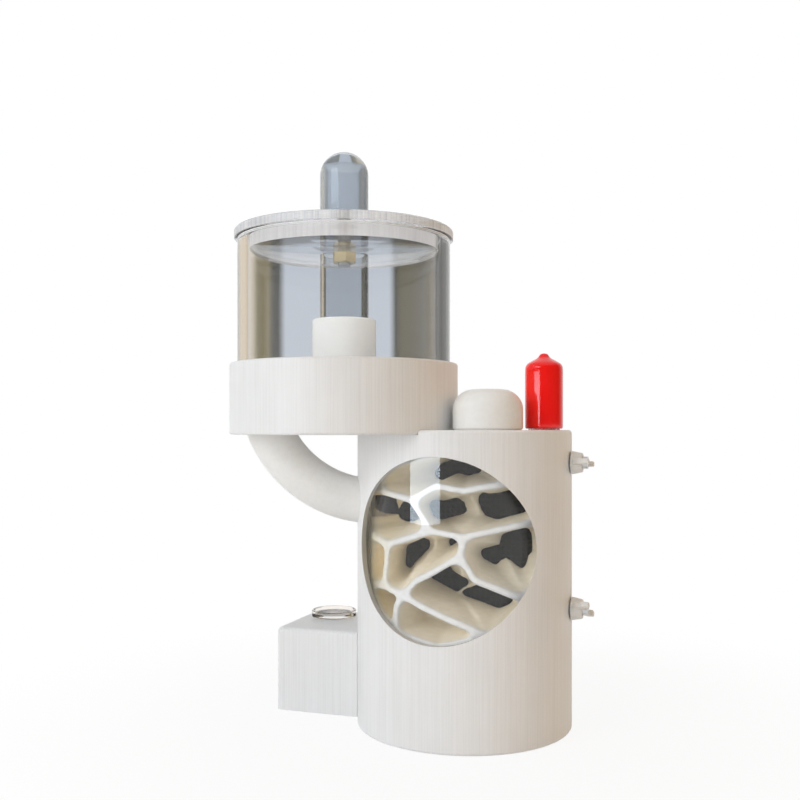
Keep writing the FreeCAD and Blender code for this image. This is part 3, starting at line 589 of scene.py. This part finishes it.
# %% Threads
THREAD_PITCH = 0.7 * MM
THREAD_DEPTH = 0.28 * MM
THREAD_SINK = 0.05 * MM
THREAD_START = 0.4 * MM
STEPS_A_TURN = 20


def thread(name, body, start, axis, radius, length, material):
    def build(work):
        turns = int(length / THREAD_PITCH)
        side = axis.orthogonal().normalized()
        profile = [(0.0, -0.46), (THREAD_DEPTH, -0.12), (THREAD_DEPTH, 0.12), (0.0, 0.46)]
        points = [start + side * (radius - THREAD_SINK + out) + axis * THREAD_PITCH * (rise + 0.5)
                  for out, rise in profile]
        verts = [work.verts.new(point) for point in points]
        edges = [work.edges.new(pair) for pair in zip(verts, verts[1:])]
        bmesh.ops.spin(work, geom=verts + edges, cent=start, axis=axis, angle=math.tau * turns,
                       steps=turns * STEPS_A_TURN, dvec=axis * THREAD_PITCH / STEPS_A_TURN)
        bmesh.ops.holes_fill(work, edges=[edge for edge in work.edges if edge.is_boundary])
    return piece_from(build, name, material, body)


stud_low, stud_high = (Vector(corner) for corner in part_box("clamp_studs"))
STUD_RADIUS = (stud_high.y - stud_low.y) / 2
for level, height in (("upper", stud_high.z - STUD_RADIUS), ("lower", stud_low.z + STUD_RADIUS)):
    outer_end = Vector((TOWER_RADIUS + THREAD_START, 0, height))
    thread("stud_thread_" + level, "stand", outer_end, Vector((1, 0, 0)),
           STUD_RADIUS - THREAD_DEPTH, stud_high.x - outer_end.x - THREAD_PITCH, steel)
print("threads made on two studs of %.1f mm radius" % (STUD_RADIUS / MM))

# %% [markdown]
# ## Camera
# The camera stands level with the tower's top, as someone would hold it to look into the window, and
# a little to the left of the window's own axis. A small vertical shift frames the whole habitat
# without tilting the camera, so the upright walls stay upright.

# %% Camera
FOCAL_PIXELS = 987.0
FRAME_PIXELS = 800.0
HORIZON_PIXEL = 430.0
TOWER_DISTANCE = 0.330
WINDOW_TURN = math.radians(17.0)
TOWER_PIXEL = 464.0
TURNED_CENTRE_PIXEL = 427.0


def set_camera():
    """Stand the camera level with the tower's top, turned until the tower sits right of centre."""
    right = Vector((math.cos(WINDOW_TURN), math.sin(WINDOW_TURN), 0))
    ahead = Vector((-math.sin(WINDOW_TURN), math.cos(WINDOW_TURN), 0))
    aside = (TOWER_PIXEL - TURNED_CENTRE_PIXEL) / FOCAL_PIXELS * TOWER_DISTANCE
    place = -right * aside - ahead * TOWER_DISTANCE
    place.z = TOWER_HIGH.z
    seen_aside = math.atan((TOWER_PIXEL - FRAME_PIXELS / 2) / FOCAL_PIXELS)
    extra = seen_aside - math.atan(aside / TOWER_DISTANCE)
    data = bpy.data.cameras.new("camera")
    data.sensor_width = 36.0
    data.lens = data.sensor_width * FOCAL_PIXELS / FRAME_PIXELS
    data.shift_y = (HORIZON_PIXEL - FRAME_PIXELS / 2) / FRAME_PIXELS
    data.clip_start = 0.01
    item = bpy.data.objects.new("camera", data)
    bpy.context.scene.collection.objects.link(item)
    item.location = place
    item.rotation_euler = (math.radians(90), 0, WINDOW_TURN + extra)
    bpy.context.scene.camera = item
    return item, WINDOW_TURN + extra


camera, VIEW_TURN = set_camera()
VIEW_RIGHT = Vector((math.cos(VIEW_TURN), math.sin(VIEW_TURN), 0))
VIEW_AHEAD = Vector((-math.sin(VIEW_TURN), math.cos(VIEW_TURN), 0))
bpy.context.scene.view_settings.view_transform = "Standard"
print("camera at", [round(value, 3) for value in camera.location])

# %% [markdown]
# ## Table and surroundings
# The habitat stands on a white table in a white room. Far from the object the table glows at exactly
# the strength of the surround, so no horizon shows; close to the object it is an ordinary pale
# surface that keeps the shadow. Light Path limits the glow to what is seen directly, in gloss or
# through clear parts, so that it doesn't light the object.

# %% Seen directly, in gloss or through glass
def seen_factor(tree, kinds=("Is Camera Ray", "Is Transmission Ray", "Is Glossy Ray")):
    """One where the ray is of one of these kinds, else zero."""
    path = add(tree, "LightPath")
    total = path.outputs[kinds[0]]
    for kind in kinds[1:]:
        larger = add(tree, "Math", operation="MAXIMUM")
        tree.links.new(total, larger.inputs[0])
        tree.links.new(path.outputs[kind], larger.inputs[1])
        total = larger.outputs["Value"]
    return total


def product(tree, first, second):
    node = add(tree, "Math", operation="MULTIPLY")
    tree.links.new(first, node.inputs[0])
    tree.links.new(second, node.inputs[1])
    return node.outputs["Value"]


print("light path helpers ready")

# %% Table
TABLE_SIDE = 6.0
TABLE_HEIGHT = -0.0002
SHADOW_REACH = (0.05, 0.20)
GLOW_NEAR = 0.90


def stage_plane(name, centre, across, up, material):
    """A flat sheet of the studio, given by its middle and its two full sides."""
    mesh = bpy.data.meshes.new(name)
    work = bmesh.new()
    bmesh.ops.create_grid(work, x_segments=1, y_segments=1, size=0.5)
    turn = Matrix((across, up, across.cross(up).normalized())).transposed().to_4x4()
    bmesh.ops.transform(work, matrix=Matrix.Translation(centre) @ turn, verts=work.verts)
    work.to_mesh(mesh)
    work.free()
    plane = bpy.data.objects.new(name, mesh)
    bpy.context.scene.collection.objects.link(plane)
    plane.data.materials.append(material)


def table_material():
    material, tree, shader = new_material("table", (0.90, 0.90, 0.90), 0.8)
    shader.inputs["Specular IOR Level"].default_value = 0.0
    place = add(tree, "TexCoord")
    far = add(tree, "VectorMath", operation="LENGTH")
    tree.links.new(place.outputs["Object"], far.inputs[0])
    fade = add(tree, "MapRange", interpolation_type="SMOOTHSTEP")
    fade.inputs["From Min"].default_value, fade.inputs["From Max"].default_value = SHADOW_REACH
    fade.inputs["To Min"].default_value = GLOW_NEAR
    tree.links.new(far.outputs["Value"], fade.inputs["Value"])
    glow = add(tree, "Emission")
    glow.inputs["Color"].default_value = (1, 1, 1, 1)
    end_in_mix(tree, product(tree, fade.outputs["Result"], seen_factor(tree)),
               shader.outputs["BSDF"], glow.outputs["Emission"])
    return material


stage_plane("table", Vector((0, 0, TABLE_HEIGHT)), Vector((TABLE_SIDE, 0, 0)),
            Vector((0, TABLE_SIDE, 0)), table_material())
print("table %.1f m wide" % TABLE_SIDE)

# %% Surround
AMBIENT = 0.36
COOL_SIDE = (0.98, 1.0, 1.04)
WARM_SIDE = (0.98, 0.62, 0.22)
ROOM_GLOSS = (0.09, 0.087, 0.075)
CEILING_GLOSS = (0.75, 0.76, 0.78)
WARM_STOPS = (0.25, 0.85)
ROOM_STOPS = (0.0, 0.6)
CEILING_START = 0.55
CEILING_END = 0.85


def surround():
    """White where seen; in gloss a dim room with a pale ceiling; as light, warm from the right."""
    world = bpy.data.worlds.new("studio")
    bpy.context.scene.world = world
    world.use_nodes = True
    sky = world.node_tree
    place = add(sky, "TexCoord")
    aside = dot(sky, place.outputs["Generated"], VIEW_RIGHT)
    ahead = dot(sky, place.outputs["Generated"], VIEW_AHEAD)
    up = add(sky, "SeparateXYZ")
    sky.links.new(place.outputs["Generated"], up.inputs["Vector"])
    tone = ramp(sky, aside, COOL_SIDE, WARM_SIDE, WARM_STOPS)
    gloss = ramp(sky, ahead, ROOM_GLOSS, (1, 1, 1), ROOM_STOPS)
    gloss = blend(sky, spread(sky, up.outputs["Z"], CEILING_START, CEILING_END), gloss,
                  CEILING_GLOSS)
    level = add(sky, "VectorMath", operation="SCALE")
    level.inputs["Scale"].default_value = AMBIENT
    sky.links.new(tone, level.inputs[0])
    lit = blend(sky, seen_factor(sky, ("Is Glossy Ray",)), level.outputs["Vector"], gloss)
    straight = seen_factor(sky, ("Is Camera Ray", "Is Transmission Ray"))
    seen = blend(sky, straight, lit, (1.0, 1.0, 1.0))
    sky.links.new(seen, sky.nodes["Background"].inputs["Color"])


surround()
print("surround lights at %.2f of white" % AMBIENT)

# %% [markdown]
# ## Lamps
# One large soft lamp from the left and front shapes the round walls. A weak warm one, as if bounced
# off a wooden wall, keeps the right side from going grey, and a soft top lamp brightens what faces
# up. They are hidden from gloss and from rays that a clear part has let through: they light the
# habitat, but no lamp is mirrored in a shiny face or in the back of the arena's wall.

# %% Lamps
def lamp(name, place, target, size, power, colour):
    data = bpy.data.lights.new(name, "AREA")
    data.shape = "RECTANGLE"
    data.size, data.size_y = size
    data.energy = power
    data.color = colour
    item = bpy.data.objects.new(name, data)
    bpy.context.scene.collection.objects.link(item)
    item.visible_glossy = False
    item.visible_transmission = False
    item.location = place
    item.rotation_euler = (Vector(target) - Vector(place)).to_track_quat("-Z", "Y").to_euler()


# Name, place, what it points at, its two sides, its power in watts and its colour.
AIM = (-0.02, -0.01, 0.09)
LAMPS = [("key", (-0.44, -0.82, 0.34), AIM, (0.6, 0.6), 4.6, (0.965, 0.985, 1.0)),
         ("warm", (0.70, -0.10, 0.36), (-0.02, -0.01, 0.10), (0.4, 0.4), 0.72, (1.0, 0.64, 0.27)),
         ("top", (-0.05, 0.05, 0.9), AIM, (0.7, 0.7), 1.5, (1.0, 1.0, 1.0))]
for settings in LAMPS:
    lamp(*settings)
print(len(LAMPS), "lamps")

# %% [markdown]
# ## What the clear parts show
# Clear plastic has hardly a colour of its own: it is drawn by what stands behind and around it. A few
# cards are seen only that way. One hangs behind the arena, pale blue like a window in its middle and
# tan to dark brown at its sides. The others hang one above the other at the front left, like the panes
# of a tall window: the curved pane, the red cap and the knob each gather one of them into a bright
# upright strip.

# %% Cards seen only through or in the clear parts
def card_material(name, seen, strength, stops):
    """A glow with soft upright bands where the given rule sees it, and clear everywhere else."""
    material = bpy.data.materials.new(name)
    material.use_nodes = True
    tree = material.node_tree
    tree.nodes.remove(tree.nodes["Principled BSDF"])
    place = add(tree, "TexCoord")
    first, last = stops[0][0], stops[-1][0]
    position = spread(tree, dot(tree, place.outputs["Object"], VIEW_RIGHT), first, last)
    bands = add(tree, "ValToRGB")
    elements = bands.color_ramp.elements
    elements[0].color, elements[1].color = (*stops[0][1], 1), (*stops[-1][1], 1)
    for where, colour in stops[1:-1]:
        elements.new((where - first) / (last - first)).color = (*colour, 1)
    tree.links.new(position, bands.inputs["Fac"])
    glow = add(tree, "Emission")
    glow.inputs["Strength"].default_value = strength
    tree.links.new(bands.outputs["Color"], glow.inputs["Color"])
    clear = add(tree, "BsdfTransparent")
    end_in_mix(tree, seen(tree), clear.outputs["BSDF"], glow.outputs["Emission"])
    return material


def through_glass(tree):
    return seen_factor(tree, ("Is Transmission Ray",))


def mirrored(tree):
    """One where a surface mirrors the ray, zero where a clear piece has let it through."""
    path = add(tree, "LightPath")
    only = add(tree, "Math", operation="SUBTRACT", use_clamp=True)
    tree.links.new(path.outputs["Is Glossy Ray"], only.inputs[0])
    tree.links.new(path.outputs["Is Transmission Ray"], only.inputs[1])
    return only.outputs["Value"]


WINDOW_BLUE = (0.545, 0.585, 0.665)
WALL_TAN = (0.66, 0.55, 0.41)
WALL_OLIVE = (0.20, 0.16, 0.07)
WALL_BROWN = (0.10, 0.083, 0.04)
WALL_DIM = (0.085, 0.075, 0.052)
SHADE = (0.03, 0.03, 0.022)
BACK_DEPTH = 0.62
BACK_HEIGHT = 0.13
BACK_WIDE = 0.9
BACK_TALL = 0.5
back_centre = camera.location + VIEW_AHEAD * BACK_DEPTH
back_centre.z = BACK_HEIGHT
middle = back_centre.dot(VIEW_RIGHT)
# What stands behind the habitat, from left to right: metres from the card's middle, and a colour.
ROOM = [(-0.40, WALL_TAN), (-0.172, WALL_TAN), (-0.142, WALL_OLIVE), (-0.114, WALL_OLIVE),
        (-0.104, SHADE), (-0.096, SHADE), (-0.088, WINDOW_BLUE), (0.004, WINDOW_BLUE),
        (0.009, SHADE), (0.016, WALL_BROWN), (0.050, WALL_DIM), (0.075, WALL_DIM),
        (0.115, SHADE), (0.40, SHADE)]
room_stops = [(middle + at, tone) for at, tone in ROOM]
room_glow = card_material("room_glow", through_glass, 1.0, room_stops)
stage_plane("room_card", back_centre, VIEW_RIGHT * BACK_WIDE, Vector((0, 0, BACK_TALL)), room_glow)

STRIP_TURN = math.radians(46.5)
STRIP_DISTANCE = 0.40
STRIP_WIDTH = 0.245
STRIP_BLUE = (0.78, 0.89, 1.0)
away = (-VIEW_AHEAD * math.cos(STRIP_TURN) - VIEW_RIGHT * math.sin(STRIP_TURN)) * STRIP_DISTANCE
strip_across = Vector((0, 0, 1)).cross(away).normalized()
# Name, lower edge, upper edge and strength of each strip.
STRIPS = [("pane_strip", 0.033, 0.079, 16.0), ("cap_strip", 0.096, 0.142, 7.0),
          ("knob_strip", 0.255, 0.36, 5.0)]
for name, low, high, strength in STRIPS:
    glow = card_material(name, mirrored, strength, [(-1.0, STRIP_BLUE), (1.0, STRIP_BLUE)])
    stage_plane(name, away + Vector((0, 0, (low + high) / 2)), strip_across * STRIP_WIDTH,
                Vector((0, 0, high - low)), glow)
print("cards: one behind,", len(STRIPS), "at the front left")

# %% [markdown]

# %% Finish
print("scene built")
